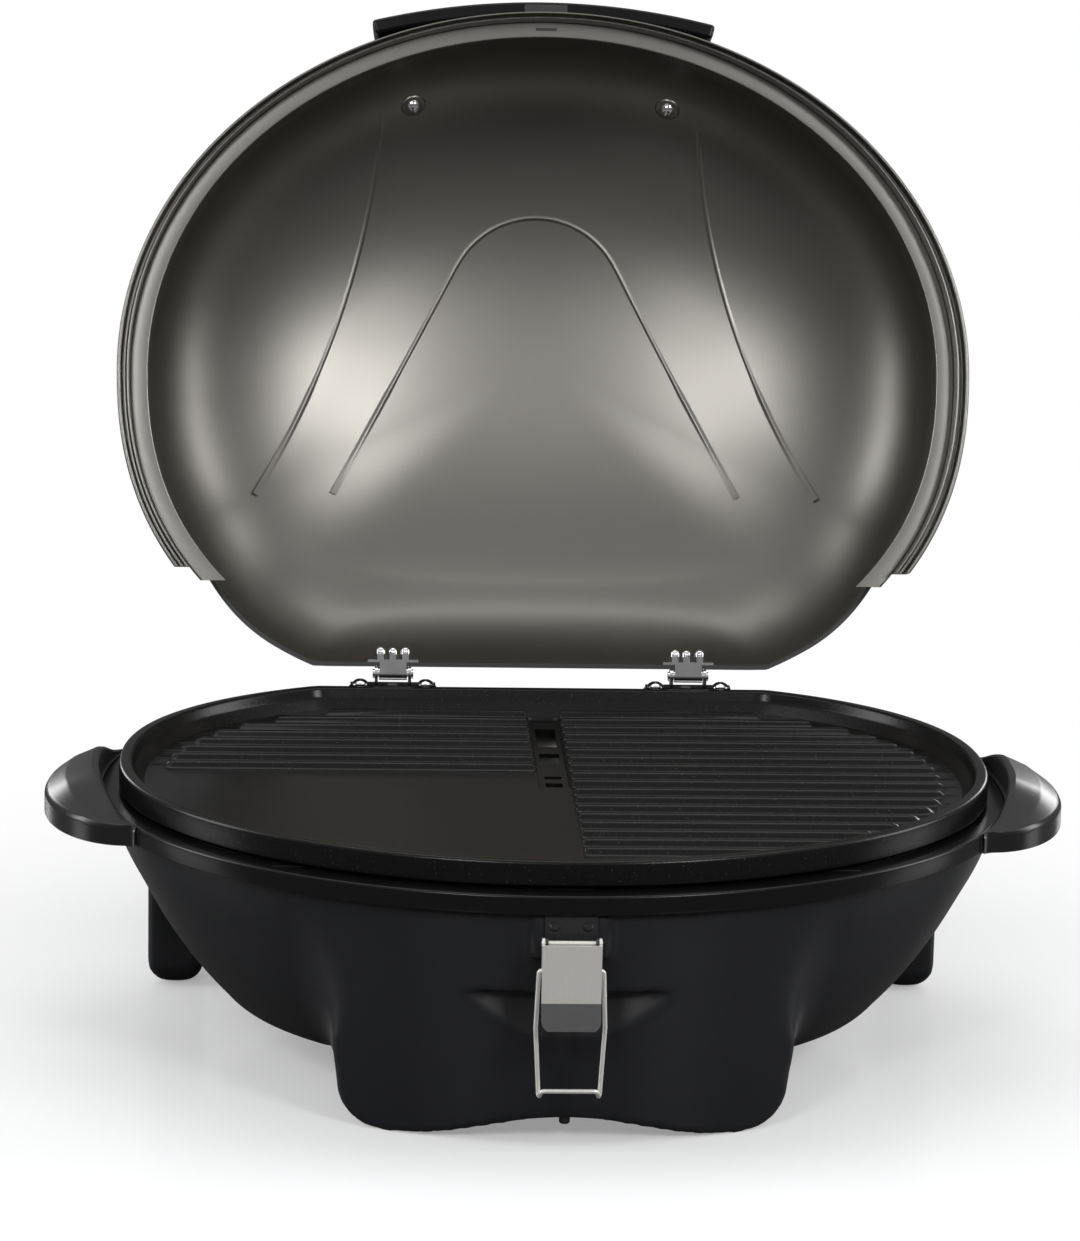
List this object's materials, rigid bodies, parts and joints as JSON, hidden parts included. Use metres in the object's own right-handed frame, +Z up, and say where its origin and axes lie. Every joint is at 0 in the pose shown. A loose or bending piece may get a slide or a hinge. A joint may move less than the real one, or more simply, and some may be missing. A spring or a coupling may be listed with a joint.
{
  "type": "electric indoor grill",
  "caption": "Tabletop electric grill: legged bowl, oval half-ribbed cast plate, hinged dome lid standing open, side handles and a toggle latch.",
  "frame": {"origin": "on the table, below the middle of the oval cooking plate", "axes": "+X to the right and +Z up for a person who stands in front of the latch, +Y away from them to the hinges"},
  "size_m": [0.584, 0.6143, 0.5709],
  "materials": {
    "bowl": "satin, slightly cool dark grey",
    "ring": "high gloss black",
    "zinc": "plain zinc",
    "nub": "matt black",
    "pan": "satin",
    "element": "oxidised dark",
    "ceramic": "matt off-white",
    "inlet": "matt black",
    "pins": "bright",
    "plate": "cast, dark non-stick coat with a fine sparkle",
    "tray": "satin",
    "lid": "satin warm grey",
    "bright": "bright",
    "latch": "brushed"
  },
  "bodies": {
    "base": {"base_shell": "bowl", "rim_ring": "ring", "handle_left": "ring", "handle_right": "ring", "handle_screws": "zinc", "apron_bumper": "nub", "reflector_pan": "pan", "reflector_screws": "zinc", "heating_element": "element", "element_brackets": "pan", "element_bushings": "ceramic", "thermal_cutout": "ceramic", "inlet_housing": "inlet", "inlet_pins": "pins", "inlet_screws": "zinc", "hinge_strap_left": "bright", "hinge_strap_right": "bright", "hinge_strap_screws": "bright", "hinge_pins": "bright", "latch_bracket": "latch", "latch_rivets": "latch", "latch_pin": "latch"},
    "plate": {"grill_plate": "plate"},
    "tray": {"grease_tray": "tray"},
    "lid": {"lid_shell": "lid", "lid_handle": "ring", "lid_handle_screws": "bright", "lid_catch": "latch", "hinge_leaf_left": "bright", "hinge_leaf_right": "bright", "hinge_bolts": "bright", "hinge_nuts": "bright"},
    "lever": {"latch_lever": "latch"},
    "bail": {"latch_bail": "latch"}
  },
  "joints": [
    {"name": "lid_hinge", "type": "hinge", "parent": "base", "child": "lid", "pos_m": [0, 0.206, 0.17], "axis": [-1, 0, 0], "range_deg": [-105, 0]},
    {"name": "latch_lever_pivot", "type": "hinge", "parent": "base", "child": "lever", "pos_m": [0, -0.209, 0.124], "axis": [-1, 0, 0], "range_deg": [0, 150]},
    {"name": "bail_pivot", "type": "hinge", "parent": "lever", "child": "bail", "pos_m": [0, -0.209, 0.109], "axis": [1, 0, 0], "range_deg": [-180, 0]},
    {"name": "plate_lift", "type": "slide", "parent": "base", "child": "plate", "axis": [0, 0, 1], "range_m": [0, 0.06]},
    {"name": "tray_slide", "type": "slide", "parent": "base", "child": "tray", "axis": [0, 1, 0], "range_m": [0, 0.15]}
  ]
}
